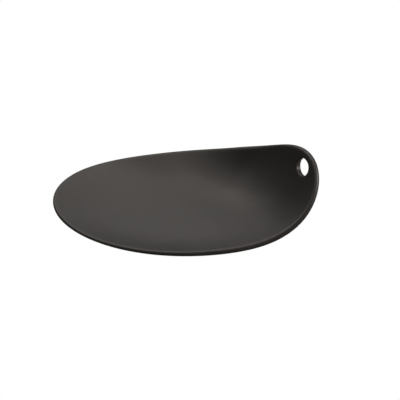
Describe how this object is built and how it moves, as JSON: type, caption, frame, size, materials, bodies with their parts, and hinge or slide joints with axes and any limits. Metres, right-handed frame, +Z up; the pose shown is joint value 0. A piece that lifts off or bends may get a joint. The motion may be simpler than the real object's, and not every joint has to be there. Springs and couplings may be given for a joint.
{
  "type": "curled serving dish",
  "caption": "Thin egg-shaped ceramic serving dish that rises gently all round and curls up steeply at one end, where a round hole takes a finger or a hook.",
  "frame": {"origin": "on the flat underside of the foot, below the deepest point of the dish", "axes": "+Z up out of the dish, +X along the dish towards the curled end, +Y towards the side that the curled end leans over from"},
  "size_m": [0.2653, 0.1519, 0.0802],
  "materials": {
    "matte_glaze": "matte charcoal glaze, unglazed on the underside of the foot"
  },
  "bodies": {
    "root": {"dish_body": "matte_glaze"}
  },
  "joints": []
}
